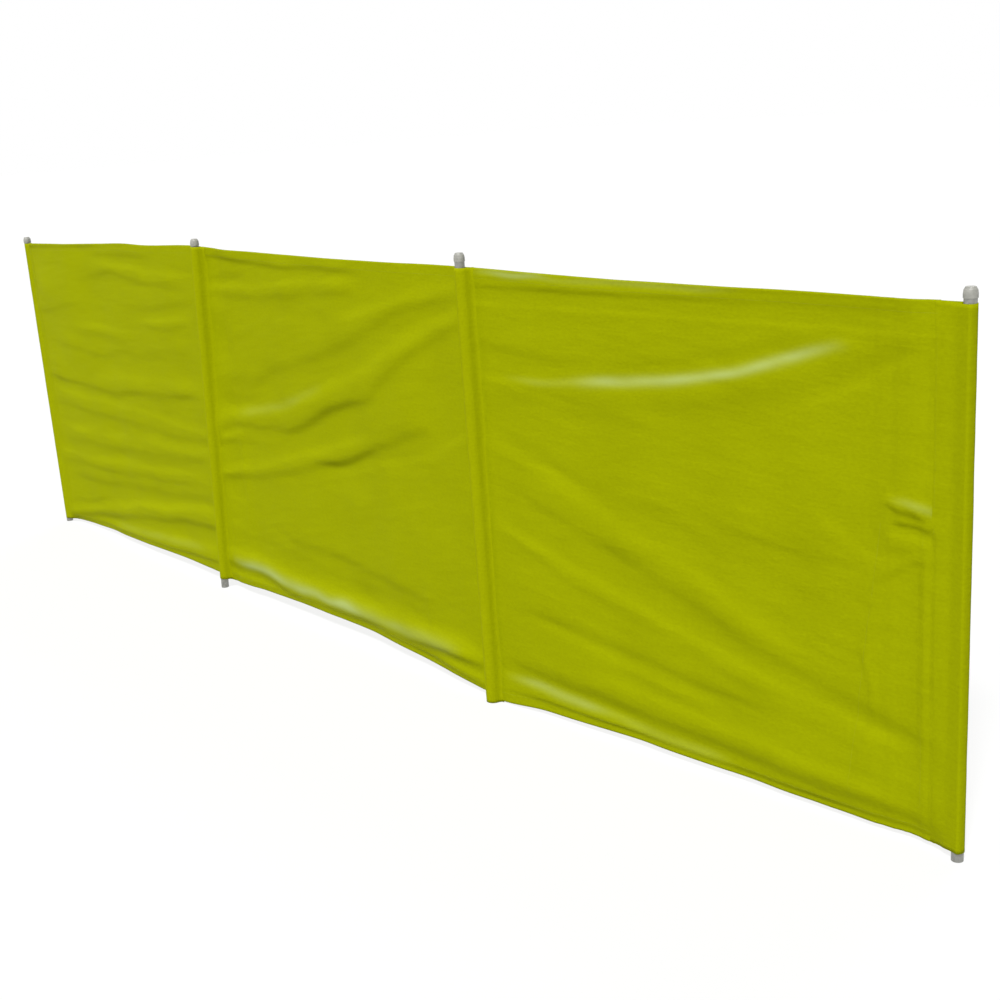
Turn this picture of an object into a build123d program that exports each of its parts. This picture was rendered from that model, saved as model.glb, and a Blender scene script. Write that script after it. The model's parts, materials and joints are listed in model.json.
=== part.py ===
from build123d import *
from math import atan2, cos, degrees, radians, sin, tan
import os

os.makedirs("parts", exist_ok=True)

# A beach windbreak: a long cloth in bays, held up by round poles that stand in sewn sleeves.
# Poles and bays are numbered along +X. The sleeves stand out towards -Y, the front of the row.
# The origin is at the foot of pole 1, at ground level, and the last pole's foot is on the X axis.

# Row of bays, seen from above
bay_widths = [1441.0, 1604.0, 1480.0]  # between the pole feet
bay_turns = [0.0, 5.5]  # degrees that the row turns to the back at each inner pole
pole_leans = [0.6, 4.3, 0.0, 0.0]  # degrees along the row; a pole where the row turns is upright

# Poles: steel tubes, closed at ground level where their buried point starts
pole_stubs = [26.0, 26.0, 40.0, 34.0]  # how far each cap stands above the cloth
tube_diameter = 28.0
tube_wall = 1.2
foot_plug_length = 40.0

# Caps: tapered plastic ends pushed over the tubes, hollow up to the shoulder
cap_height = 14.0
cap_skirt_length = 9.0
cap_wall = 1.4
cap_clearance = 0.1
cap_seat_width = 2.0
cap_shoulder_height = 8.0
cap_shoulder_inset = 1.3
cap_top_inset = 5.0

# Cloth: one thickness for the bays, sleeves and hems
cloth_thickness = 1.5
cloth_height = 1250.0
cloth_lifts = [15.0, 48.0, 37.0, 10.0]  # how high each pole holds the cloth above the ground
hem_width = 32.0
pole_clearance = 0.4
bay_gap = 2.0

# Ground to each bay's arched lower edge, at its left end, middle and right end
lower_edges = [(7.0, 35.0, 39.0), (32.0, 52.0, 15.0), (8.0, 22.0, 10.0)]

# Sleeves: the inner ones are raised tunnels, the end ones are loops of the folded cloth
inner_sleeve_half_width = 26.0
end_sleeve_depth = 60.0
seam_width = 12.0
sleeve_ends = [16.0, 37.0, 0.0, 23.0]  # ground to each sleeve's lower end

# Storage pocket on the back of the last bay, beside the end sleeve
pocket_mouth_width = 112.0
pocket_bottom_width = 196.0
pocket_height = 676.0
pocket_bottom_height = 90.0
pocket_side_gap = 26.0
pocket_thickness = 3.0
pocket_corner_radius = 24.0
pocket_hem_width = 20.0

tube_radius = tube_diameter / 2
cloth_offset = tube_radius + pole_clearance
bay_count = len(bay_widths)
pole_count = bay_count + 1
cloth_tops = [lift + cloth_height for lift in cloth_lifts]
pole_heights = [top + stub for top, stub in zip(cloth_tops, pole_stubs)]


def walk_row():
    """Pole feet and bay headings, turned so that the last pole's foot lies on the X axis."""
    headings = [0.0]
    for turn in bay_turns:
        headings.append(headings[-1] + turn)
    feet = [Vector(0, 0)]
    for width, heading in zip(bay_widths, headings):
        feet.append(feet[-1] + Vector(width, 0).rotate(Axis.Z, heading))
    chord = degrees(atan2(feet[-1].Y, feet[-1].X))
    feet = [foot.rotate(Axis.Z, -chord) for foot in feet]
    headings = [heading - chord for heading in headings]
    return feet, headings


pole_feet, bay_headings = walk_row()


def bay_plane(bay, depth):
    """Upright plane along a bay, X from its left pole's foot, facing the front, behind the poles."""
    along = Vector(1, 0).rotate(Axis.Z, bay_headings[bay])
    back = Vector(0, 1).rotate(Axis.Z, bay_headings[bay])
    return Plane(origin=pole_feet[bay] + back * depth, x_dir=along, z_dir=back * -1)


def pole_plane(number, height):
    """The plane across a pole at a height, X along the row, Y to the back and Z up the pole."""
    nearby = bay_headings[max(number - 1, 0) : number + 1]
    along = Vector(1, 0).rotate(Axis.Z, sum(nearby) / len(nearby))
    up = Vector(0, 0, 1)
    lean = radians(pole_leans[number])
    centre = pole_feet[number] + along * (height * tan(lean)) + up * height
    across = along * cos(lean) - up * sin(lean)
    return Plane(origin=centre, x_dir=across, z_dir=along * sin(lean) + up * cos(lean))


def pole_line(bay, end, height):
    """Where the pole at a bay's left end, 0, or right end, 1, passes at a height, along the bay."""
    return end * bay_widths[bay] + height * tan(radians(pole_leans[bay + end]))


def setback(number):
    """How far cloth stays from a pole's centre: an end sleeve's seam, or half the gap between bays."""
    if number in (0, pole_count - 1):
        return end_sleeve_depth + cloth_thickness + pole_clearance
    return bay_gap / 2


def upper_corner(bay, end, drop):
    """A bay's upper corner at its left or right pole, lowered by a drop."""
    height = cloth_tops[bay + end] - drop
    return (pole_line(bay, end, height), height)


def lower_edge(bay, lift):
    """The arched lower edge of a bay, from pole to pole, raised by a lift."""
    left, middle, right = [height + lift for height in lower_edges[bay]]
    return ThreePointArc(
        (pole_line(bay, 0, left), left),
        (bay_widths[bay] / 2, middle),
        (pole_line(bay, 1, right), right),
    )


def keep_bay_length(bay):
    """Cut a bay's outline off beside its two poles."""
    high = 2 * cloth_height
    Polygon(
        (pole_line(bay, 0, 0) + setback(bay), 0),
        (pole_line(bay, 1, 0) - setback(bay + 1), 0),
        (pole_line(bay, 1, high) - setback(bay + 1), high),
        (pole_line(bay, 0, high) + setback(bay), high),
        align=None,
        mode=Mode.INTERSECT,
    )


# Poles: closed by a solid plug at the foot, and cut off level with the ground
for number in range(pole_count):
    tube_top = pole_heights[number] - cap_height
    with BuildPart() as pole:
        with BuildSketch(pole_plane(number, tube_top)):
            Circle(tube_radius)
        extrude(amount=-(tube_top + foot_plug_length))
        with BuildSketch(pole_plane(number, tube_top)):
            Circle(tube_radius - tube_wall)
        extrude(amount=foot_plug_length - tube_top, mode=Mode.SUBTRACT)
        split(bisect_by=Plane.XY, keep=Keep.TOP)
    pole.part.label = f"pole_{number + 1}"
    export_step(pole.part, f"parts/{pole.part.label}.step")

# Caps
cap_bore_radius = tube_radius + cap_clearance
cap_radius = cap_bore_radius + cap_wall
cap_void_radius = tube_radius - cap_seat_width

for number in range(pole_count):
    seat = pole_plane(number, pole_heights[number] - cap_height)
    with BuildPart() as cap:
        with BuildSketch(Plane(seat.origin, x_dir=seat.x_dir, z_dir=seat.y_dir * -1)):
            Polygon(
                (0, cap_height),
                (0, cap_shoulder_height),
                (cap_void_radius, cap_shoulder_height),
                (cap_void_radius, 0),
                (cap_bore_radius, 0),
                (cap_bore_radius, -cap_skirt_length),
                (cap_radius, -cap_skirt_length),
                (cap_radius, 0),
                (cap_radius - cap_shoulder_inset, cap_shoulder_height),
                (cap_radius - cap_top_inset, cap_height),
                align=None,
            )
        revolve(axis=Axis(seat.origin, seat.z_dir))
    cap.part.label = f"cap_{number + 1}"
    export_step(cap.part, f"parts/{cap.part.label}.step")

# Cloth bays
for bay in range(bay_count):
    with BuildPart() as cloth:
        with BuildSketch(bay_plane(bay, cloth_offset)):
            with BuildLine():
                edge = lower_edge(bay, 0)
                Polyline(edge @ 1, upper_corner(bay, 1, 0), upper_corner(bay, 0, 0), edge @ 0)
            make_face()
            keep_bay_length(bay)
        extrude(amount=-cloth_thickness)
    cloth.part.label = f"cloth_bay_{bay + 1}"
    export_step(cloth.part, f"parts/{cloth.part.label}.step")

# Hems: the folded edges, which lie on the back of each bay
for bay in range(bay_count):
    with BuildPart() as top_hem:
        with BuildSketch(bay_plane(bay, cloth_offset + cloth_thickness)):
            with BuildLine():
                Polyline(
                    upper_corner(bay, 0, 0),
                    upper_corner(bay, 1, 0),
                    upper_corner(bay, 1, hem_width),
                    upper_corner(bay, 0, hem_width),
                    close=True,
                )
            make_face()
            keep_bay_length(bay)
        extrude(amount=-cloth_thickness)
    top_hem.part.label = f"top_hem_{bay + 1}"
    export_step(top_hem.part, f"parts/{top_hem.part.label}.step")

    with BuildPart() as bottom_hem:
        with BuildSketch(bay_plane(bay, cloth_offset + cloth_thickness)):
            with BuildLine():
                under = lower_edge(bay, 0)
                over = lower_edge(bay, hem_width)
                Line(under @ 0, over @ 0)
                Line(under @ 1, over @ 1)
            make_face()
            keep_bay_length(bay)
        extrude(amount=-cloth_thickness)
    bottom_hem.part.label = f"bottom_hem_{bay + 1}"
    export_step(bottom_hem.part, f"parts/{bottom_hem.part.label}.step")


def plan_point(turn, along, depth):
    """A point in the plane across a pole: along a bay that turns off from it, and behind the pole."""
    return Vector(along, depth).rotate(Axis.Z, turn)


def front_touch(turn, crease):
    """Where cloth drawn tight from a crease meets the pole's round: the mirror of where the back does."""
    toward = crease.normalized()
    back_touch = plan_point(turn, 0, cloth_offset)
    return toward * (2 * back_touch.dot(toward)) - back_touch


def seam_strip(turn, crease_distance, side):
    """A flat strip on the front of a bay's cloth, from inside the sleeve's wall beside its crease."""
    start = crease_distance + cloth_thickness / 3
    middle_depth = cloth_offset - cloth_thickness / 2
    middle = plan_point(turn, side * (start + seam_width / 2), middle_depth)
    with Locations(Location(middle, (0, 0, turn))):
        Rectangle(seam_width, cloth_thickness)


def cut_behind_cloth(turn):
    """Cut away what lies behind the front faces of two bays that each turn off to the back."""
    corner_depth = cloth_offset / cos(radians(turn))
    reach = inner_sleeve_half_width + seam_width + tube_diameter
    Polygon(
        plan_point(-turn, -reach, cloth_offset),
        Vector(0, corner_depth),
        plan_point(turn, reach, cloth_offset),
        plan_point(turn, reach, reach),
        plan_point(-turn, -reach, reach),
        align=None,
        mode=Mode.SUBTRACT,
    )


def sleeve_length(number):
    """A sleeve's length along its pole, from its lower end to the cloth's upper edge."""
    return (cloth_tops[number] - sleeve_ends[number]) / cos(radians(pole_leans[number]))


# Inner sleeves: a strip of cloth arched over the pole, sewn down on both sides
for number in range(1, pole_count - 1):
    turn = bay_turns[number - 1] / 2
    left_crease = plan_point(-turn, -inner_sleeve_half_width, cloth_offset)
    right_crease = plan_point(turn, inner_sleeve_half_width, cloth_offset)
    left_touch = front_touch(-turn, left_crease)
    right_touch = front_touch(turn, right_crease)
    behind = cloth_offset + 2 * cloth_thickness
    with BuildSketch(mode=Mode.PRIVATE) as space:
        with BuildLine():
            ThreePointArc(left_touch, (0, -cloth_offset), right_touch)
            Polyline(
                right_touch,
                right_crease,
                plan_point(turn, inner_sleeve_half_width, behind),
                plan_point(-turn, -inner_sleeve_half_width, behind),
                left_crease,
                left_touch,
            )
        make_face()
    with BuildPart() as sleeve:
        with BuildSketch(pole_plane(number, sleeve_ends[number])):
            add(space.sketch)
            offset(amount=cloth_thickness, kind=Kind.ARC, mode=Mode.REPLACE)
            add(space.sketch, mode=Mode.SUBTRACT)
            cut_behind_cloth(turn)
            seam_strip(-turn, inner_sleeve_half_width, -1)
            seam_strip(turn, inner_sleeve_half_width, 1)
        extrude(amount=sleeve_length(number))
    sleeve.part.label = f"sleeve_{number + 1}"
    export_step(sleeve.part, f"parts/{sleeve.part.label}.step")

# End sleeves: the cloth's end folded round the pole and sewn back on itself
for number, side in [(0, 1), (pole_count - 1, -1)]:
    crease = Vector(side * end_sleeve_depth, cloth_offset)
    touch = front_touch(0, crease)
    back_touch = Vector(0, cloth_offset)
    with BuildSketch(mode=Mode.PRIVATE) as space:
        with BuildLine():
            ThreePointArc(touch, crease.normalized() * -cloth_offset, back_touch)
            Polyline(back_touch, crease, touch)
        make_face()
    with BuildPart() as sleeve:
        with BuildSketch(pole_plane(number, sleeve_ends[number])):
            add(space.sketch)
            offset(amount=cloth_thickness, kind=Kind.ARC, mode=Mode.REPLACE)
            add(space.sketch, mode=Mode.SUBTRACT)
            seam_strip(0, end_sleeve_depth, side)
        extrude(amount=sleeve_length(number))
    sleeve.part.label = f"sleeve_{number + 1}"
    export_step(sleeve.part, f"parts/{sleeve.part.label}.step")

# Storage pocket: a tapered pouch sewn on by its sides and bottom, with a hemmed mouth
last_bay = bay_count - 1
pocket_right = pole_line(last_bay, 1, 0) - setback(last_bay + 1) - pocket_side_gap
pocket_mouth_height = pocket_bottom_height + pocket_height

with BuildPart() as storage_pocket:
    with BuildSketch(bay_plane(last_bay, cloth_offset + cloth_thickness)) as pocket_outline:
        with BuildLine():
            Polyline(
                (pocket_right, pocket_mouth_height),
                (pocket_right - pocket_mouth_width, pocket_mouth_height),
                (pocket_right - pocket_bottom_width, pocket_bottom_height),
                (pocket_right, pocket_bottom_height),
                close=True,
            )
        make_face()
        lower_corners = pocket_outline.vertices().group_by(Axis.Z)[0]
        fillet(lower_corners, pocket_corner_radius)
    extrude(amount=-pocket_thickness)
storage_pocket.part.label = "storage_pocket"
export_step(storage_pocket.part, "parts/storage_pocket.step")

pocket_taper = (pocket_bottom_width - pocket_mouth_width) / pocket_height

with BuildPart() as pocket_hem:
    with BuildSketch(bay_plane(last_bay, cloth_offset + cloth_thickness + pocket_thickness)):
        with BuildLine():
            hem_bottom = pocket_mouth_height - pocket_hem_width
            hem_spread = pocket_mouth_width + pocket_taper * pocket_hem_width
            Polyline(
                (pocket_right, pocket_mouth_height),
                (pocket_right - pocket_mouth_width, pocket_mouth_height),
                (pocket_right - hem_spread, hem_bottom),
                (pocket_right, hem_bottom),
                close=True,
            )
        make_face()
    extrude(amount=-cloth_thickness)
pocket_hem.part.label = "pocket_hem"
export_step(pocket_hem.part, "parts/pocket_hem.step")
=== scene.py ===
import json
from math import asin, atan2, cos, pi, radians, sin

import bpy
import numpy as np
from mathutils import Matrix, Vector


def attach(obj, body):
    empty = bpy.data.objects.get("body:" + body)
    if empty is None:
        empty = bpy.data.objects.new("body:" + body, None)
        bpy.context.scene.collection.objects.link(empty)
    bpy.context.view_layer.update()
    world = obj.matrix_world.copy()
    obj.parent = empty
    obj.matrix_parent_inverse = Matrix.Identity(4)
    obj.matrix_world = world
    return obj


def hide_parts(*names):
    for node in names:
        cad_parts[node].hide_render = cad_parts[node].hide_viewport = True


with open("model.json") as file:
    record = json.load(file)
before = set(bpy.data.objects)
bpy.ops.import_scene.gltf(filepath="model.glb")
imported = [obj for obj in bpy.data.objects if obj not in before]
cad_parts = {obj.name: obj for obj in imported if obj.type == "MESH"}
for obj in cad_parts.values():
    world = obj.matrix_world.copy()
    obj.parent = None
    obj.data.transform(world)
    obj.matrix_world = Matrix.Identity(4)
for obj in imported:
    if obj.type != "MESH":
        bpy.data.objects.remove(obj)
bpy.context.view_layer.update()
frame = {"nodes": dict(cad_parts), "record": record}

# Lengths are in metres unless a name or a comment says mm. A bay's own coordinates are the distance
# along the bay from its left pole's foot and the height above the ground. Out is towards the front.
# Poles and bays count from 0 at the left, and from 1 in the names of nodes and pieces.

# Row of poles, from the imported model's mounts
pole_count = 4
bay_count = pole_count - 1
mounts = {mount["name"]: mount for mount in frame["record"]["mounts"]}
pole_feet = [Vector(mounts[f"pole_{number + 1}_foot"]["pos_m"]) for number in range(pole_count)]
pole_axes = [Vector(mounts[f"cap_{number + 1}_top"]["axis"]) for number in range(pole_count)]

# Sizes that the solids share
tube_radius = 0.014
cloth_offset = 0.0144
cloth_tops = [1.265, 1.298, 1.287, 1.260]
sleeve_ends = [0.016, 0.037, 0.000, 0.023]
hem_width = 0.032
inner_sleeve_half_width = 0.026
end_sleeve_depth = 0.060
seam_width = 0.012
# How far the cloth stands off an end pole where it turns its outer front corner
end_sleeve_fullness = {0: 0, 3: 0.0022}
# How far a bay's cloth stops short of an end sleeve's seam
end_clearance = 0.0004
# How far the bays' cloths stop short of each inner pole's centre, so that their edges just meet
bay_setbacks = {1: 0.0001, 2: 0.0007}
# The share of a seam's width within which its smooth shading turns over its edge
rim_share = 0.04

# The dressed cloth
cloth_layer = 0.0006
# What each bay's crease steps are multiplied by, set by contrast against the photograph
crease_factors = [2.4, 2.5, 2.1]
# How much deeper a bay's creases are at its foot than half way up, as a share
deeper_at_foot = [0.0, -0.08, 0.16]
half_height = 0.6
bay_grid_along = 0.010
bay_grid_up = 0.005
sleeve_grid = 0.010
stitch_pitch = 0.0045
stitch_length = 0.0032
stitch_width = 0.0007

# How a bay's edges run, as height over distance along the bay, in mm
top_edges_mm = [
    [
        (0, 1267), (250, 1272), (460, 1276), (760, 1285),
        (960, 1291), (1110, 1289), (1441, 1298), (1565, 1299),
    ],
    [(60, 1298), (260, 1292), (500, 1290), (900, 1287), (1250, 1286), (1604, 1287)],
    [(0, 1287), (260, 1280), (460, 1275), (700, 1271), (1030, 1269), (1340, 1265), (1480, 1265)],
]
lower_edges_mm = [
    [(0, 12), (110, 18), (260, 23), (510, 31), (660, 34), (960, 41), (1310, 41), (1441, 40)],
    [
        (0, 31), (110, 38), (260, 44), (535, 52), (800, 51),
        (1110, 45), (1260, 37), (1410, 32), (1604, 15),
    ],
    [(0, 2), (60, 6), (160, 15), (310, 19), (560, 24), (860, 21), (1260, 16), (1480, 16)],
]


def is_inner(number):
    return 0 < number < pole_count - 1


def bay_directions(bay):
    """A bay's directions along the row and to the back."""
    along = (pole_feet[bay + 1] - pole_feet[bay]).normalized()
    return along, Vector((-along.y, along.x, 0))


def bay_width(bay):
    return (pole_feet[bay + 1] - pole_feet[bay]).length


def bay_places(bay, along, height, out):
    """Places of points on a bay's cloth, from arrays of its own coordinates."""
    forward, back = bay_directions(bay)
    foot = np.array(pole_feet[bay])
    depth = cloth_offset - out
    places = foot + along[..., None] * np.array(forward) + depth[..., None] * np.array(back)
    places[..., 2] += height
    return places


def pole_along(bay, end, height):
    """Where the pole at a bay's left end, 0, or right end, 1, passes, along the bay."""
    axis = pole_axes[bay + end]
    forward, _ = bay_directions(bay)
    lean = axis.dot(forward) / axis.z
    return end * bay_width(bay) + lean * height


def setback(number):
    """How far a bay's cloth stays from a pole's centre."""
    return bay_setbacks[number] if is_inner(number) else end_sleeve_depth + end_clearance


def smooth_line(points_mm):
    """A smooth curve through points, as a function of the distance along it, in metres."""
    x, y = np.array(points_mm, float).T / 1000
    if len(x) == 2:
        slopes = np.full(2, (y[1] - y[0]) / (x[1] - x[0]))
    else:
        slopes = np.gradient(y, x)

    def value(at):
        at = np.clip(at, x[0], x[-1])
        i = np.clip(np.searchsorted(x, at) - 1, 0, len(x) - 2)
        gap = x[i + 1] - x[i]
        t = (at - x[i]) / gap
        start = (1 + 2 * t) * (1 - t) ** 2 * y[i] + t * (1 - t) ** 2 * gap * slopes[i]
        end = t * t * (3 - 2 * t) * y[i + 1] + t * t * (t - 1) * gap * slopes[i + 1]
        return start + end

    return value


def smooth_step(at):
    at = np.clip(at, 0, 1)
    return at * at * (3 - 2 * at)


def soft_noise(x, y, seed):
    """Smooth noise from -1 to 1 with features about one unit wide, the same on every run."""
    size = 64
    lattice = np.random.default_rng(seed).uniform(-1, 1, (size, size))
    column, row = np.floor(x).astype(int), np.floor(y).astype(int)
    across, up = smooth_step(x - column), smooth_step(y - row)
    steps = ((0, 0), (1, 0), (0, 1), (1, 1))
    corners = [lattice[(column + i) % size, (row + j) % size] for i, j in steps]
    lower = corners[0] + (corners[1] - corners[0]) * across
    upper = corners[2] + (corners[3] - corners[2]) * across
    return lower + (upper - lower) * up


# Creases in the cloth, read off the photograph bay by bay. A crease is a soft step: below its line
# the cloth stands further out, so the crease faces up and is light. A negative step faces down and
# is dark. Each is (step, half width in mm, points along its line in mm). A step is in mm before
# its bay's factor in crease_factors, which makes it more than twice as deep.
bay_1_creases = [
    (-2.2, 6, [(-25, 1254), (200, 1258), (400, 1265), (700, 1272)]),
    (-1.6, 12, [(640, 1240), (900, 1246), (1150, 1244)]),
    (-0.8, 14, [(1300, 1215), (1450, 1216)]),
    (2.2, 14, [(680, 1212), (950, 1200), (1135, 1190), (1400, 1187)]),
    (-2.2, 14, [(600, 1148), (825, 1169), (985, 1150), (1370, 1144)]),
    (-1.6, 13, [(930, 1035), (1135, 1052), (1260, 1069), (1430, 1085)]),
    (1.8, 12, [(1000, 994), (1200, 1012), (1380, 1025)]),
    (-1.6, 10, [(1040, 977), (1200, 977), (1390, 997)]),
    (-2.0, 14, [(15, 972), (200, 985), (275, 1000), (420, 1021)]),
    (2.0, 14, [(460, 942), (650, 947), (840, 944)]),
    (-2.0, 14, [(440, 906), (650, 908), (860, 904)]),
    (-1.8, 14, [(160, 852), (400, 837), (600, 819), (825, 850), (960, 844)]),
    (-2.6, 24, [(1000, 852), (1200, 875), (1400, 887)]),
    (3.2, 26, [(490, 722), (700, 750), (875, 756), (1000, 762), (1200, 765), (1400, 788)]),
    (-3.6, 15, [
        (70, 688), (260, 681), (435, 679), (650, 669),
        (825, 687), (1025, 700), (1200, 712), (1340, 728),
    ]),
    (2.0, 16, [
        (90, 639), (260, 625), (475, 627), (700, 622),
        (885, 625), (1075, 612), (1275, 604), (1440, 610),
    ]),
    (-2.6, 17, [
        (60, 564), (250, 572), (400, 560), (650, 560),
        (950, 556), (1150, 552), (1360, 565), (1490, 575),
    ]),
    (2.6, 20, [(180, 474), (475, 481), (600, 475), (800, 502), (950, 502), (1275, 515), (1440, 531)]),
    (-2.8, 18, [(120, 410), (325, 419), (700, 427), (825, 440), (1010, 452), (1200, 469), (1400, 494)]),
    (2.4, 15, [
        (10, 343), (175, 350), (375, 356), (575, 369),
        (750, 377), (950, 387), (1135, 406), (1340, 419),
    ]),
    (-2.2, 15, [(0, 303), (325, 315), (700, 325), (885, 344), (1075, 350), (1280, 383)]),
    (-2.6, 18, [(180, 243), (450, 250), (650, 272), (885, 290), (1075, 294), (1300, 325), (1420, 332)]),
    (3.4, 19, [(20, 66), (200, 94), (360, 125), (510, 156), (650, 181)]),
    (6.2, 18, [(600, 172), (760, 212), (875, 225), (1010, 237), (1275, 281), (1420, 294)]),
    (-5.8, 19, [
        (-5, 30), (160, 56), (325, 85), (510, 106), (650, 131),
        (825, 162), (950, 175), (1200, 210), (1325, 219), (1430, 219),
    ]),
    (-1.4, 12, [(60, 110), (260, 140), (420, 176)]),
    (5.6, 19, [(430, 62), (560, 72), (750, 87), (900, 100), (1075, 112), (1260, 125), (1400, 137)]),
    (-4.0, 10, [
        (-10, 20), (150, 30), (340, 42), (575, 50),
        (825, 56), (1010, 62), (1150, 72), (1400, 84),
    ]),
]

bay_2_creases = [
    (-2.6, 9, [(70, 1266), (274, 1260), (450, 1252), (650, 1246), (825, 1252), (1050, 1250)]),
    (-1.2, 14, [(95, 1192), (360, 1206)]),
    (2.2, 14, [(125, 1160), (236, 1165), (425, 1175), (600, 1190), (800, 1210), (1040, 1222)]),
    (-2.0, 16, [(160, 1123), (360, 1135), (575, 1144), (800, 1162), (1040, 1181)]),
    (1.2, 14, [(310, 1023), (510, 1056), (770, 1081)]),
    (-1.2, 13, [(370, 1028), (560, 1070)]),
    (3.6, 20, [(1000, 1112), (1175, 1150), (1325, 1187), (1450, 1215), (1570, 1238)]),
    (-3.4, 22, [
        (215, 834), (400, 850), (500, 887), (650, 919), (775, 956), (900, 987),
        (1025, 1037), (1135, 1081), (1260, 1131), (1385, 1169), (1570, 1196),
    ]),
    (5.4, 22, [
        (110, 690), (260, 719), (425, 744), (600, 772), (725, 819), (850, 869),
        (1000, 919), (1125, 975), (1250, 1037), (1385, 1094), (1580, 1162),
    ]),
    (-2.4, 14, [(100, 642), (200, 662), (320, 672), (600, 694)]),
    (-3.6, 18, [
        (560, 676), (725, 737), (825, 781), (950, 819), (1070, 850),
        (1200, 944), (1325, 1019), (1450, 1081), (1570, 1130),
    ]),
    (-4.0, 15, [(580, 684), (700, 726), (830, 784), (950, 822), (1060, 850)]),
    (-3.4, 12, [(770, 604), (900, 626), (1060, 684)]),
    (1.8, 10, [(100, 610), (245, 646)]),
    (-1.8, 13, [(15, 573), (200, 600), (370, 614)]),
    (4.0, 18, [
        (50, 467), (200, 500), (350, 531), (510, 575),
        (650, 612), (775, 650), (900, 687), (1035, 735),
    ]),
    (1.6, 12, [(1040, 640), (1275, 687), (1425, 737), (1570, 810)]),
    (-4.2, 18, [
        (60, 448), (250, 475), (360, 494), (525, 531), (650, 562), (750, 594),
        (825, 606), (925, 637), (1050, 681), (1200, 737), (1340, 786),
    ]),
    (1.4, 16, [(750, 571), (1060, 634)]),
    (-2.6, 18, [(430, 316), (500, 285), (700, 281), (900, 272), (1075, 256), (1320, 242)]),
    (-1.2, 18, [(95, 245), (425, 237), (725, 206), (1075, 206), (1340, 199)]),
    (1.2, 14, [(90, 376), (220, 374)]),
    (1.2, 12, [(90, 280), (210, 280)]),
    (9.5, 25, [
        (60, 154), (260, 160), (450, 144), (700, 135),
        (950, 135), (1200, 137), (1450, 140), (1570, 137),
    ]),
    (-7.0, 18, [
        (10, 98), (200, 110), (360, 102), (450, 81), (700, 77),
        (950, 81), (1200, 87), (1385, 102), (1590, 96),
    ]),
    (2.2, 9, [(45, 75), (335, 75)]),
    (2.2, 9, [(1370, 76), (1590, 59)]),
    (-2.2, 9, [(10, 51), (395, 62)]),
    (-3.2, 8, [(1080, 66), (1325, 56), (1590, 30)]),
]

bay_3_creases = [
    (2.0, 9, [(20, 1270), (300, 1262), (620, 1256), (820, 1254)]),
    (-2.6, 7, [(15, 1234), (825, 1235)]),
    (-1.2, 8, [(800, 1235), (1100, 1238), (1400, 1242)]),
    (1.2, 16, [(140, 1110), (385, 1125), (710, 1158)]),
    (-2.0, 16, [
        (10, 1080), (200, 1056), (425, 1056), (650, 1075),
        (825, 1106), (1010, 1150), (1190, 1198),
    ]),
    (5.2, 12, [
        (85, 984), (260, 987), (450, 1006), (650, 1025),
        (825, 1056), (950, 1085), (1075, 1122), (1200, 1164),
    ]),
    (-3.4, 28, [
        (110, 942), (550, 956), (825, 985), (975, 1019),
        (1075, 1056), (1175, 1094), (1275, 1131), (1400, 1176),
    ]),
    (2.2, 12, [(1055, 996), (1200, 1056), (1300, 1106), (1395, 1154)]),
    (-1.4, 18, [(370, 920), (635, 906)]),
    (-1.6, 16, [(85, 824), (225, 800), (360, 750), (485, 706), (650, 687), (790, 646)]),
    (4.2, 27, [
        (45, 816), (200, 762), (350, 706), (485, 650), (600, 606),
        (725, 562), (825, 519), (950, 456), (1090, 400),
    ]),
    (-2.2, 20, [(145, 682), (300, 619), (425, 587), (550, 537)]),
    (-4.4, 26, [
        (470, 568), (550, 537), (675, 487), (800, 450), (925, 400),
        (1050, 362), (1175, 325), (1300, 294), (1410, 259),
    ]),
    (3.6, 18, [
        (70, 567), (200, 525), (350, 487), (500, 437), (650, 400),
        (800, 362), (950, 325), (1075, 294), (1200, 269), (1340, 241),
    ]),
    (-2.0, 15, [(120, 532), (250, 475), (375, 431), (525, 387), (640, 366)]),
    (-1.6, 14, [(730, 337), (960, 278)]),
    (-2.8, 18, [(170, 320), (325, 306), (475, 287), (600, 275), (750, 250), (965, 238)]),
    (2.8, 18, [(170, 297), (350, 269), (500, 244), (650, 219), (790, 203)]),
    (-2.2, 15, [(520, 214), (765, 185)]),
    (2.4, 17, [(435, 183), (700, 162), (950, 144), (1200, 119), (1340, 98)]),
    (-6.2, 24, [
        (95, 139), (325, 125), (510, 112), (700, 100),
        (885, 91), (1075, 81), (1260, 72), (1460, 56),
    ]),
    (4.0, 14, [(60, 96), (260, 87), (450, 75), (635, 56), (840, 50)]),
    (-3.0, 6, [(120, 50), (500, 46), (900, 40), (1250, 36), (1420, 34)]),
    (-1.6, 14, [(760, 704), (925, 669), (1075, 656), (1290, 649)]),
    (1.6, 13, [(1120, 766), (1290, 664)]),
    (-2.6, 6, [(1304, 812), (1340, 801), (1385, 788)]),
    (3.2, 9, [(1300, 834), (1345, 829), (1402, 822)]),
    (-3.6, 6, [(1322, 772), (1360, 768), (1412, 762)]),
    (2.2, 8, [(1304, 744), (1350, 742), (1405, 736)]),
    (-1.6, 7, [(1300, 710), (1360, 710)]),
    (-2.2, 5, [(1350, 812), (1385, 792), (1400, 780)]),
    (-1.8, 8, [(1276, 627), (1330, 662), (1392, 697)]),
]

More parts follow.
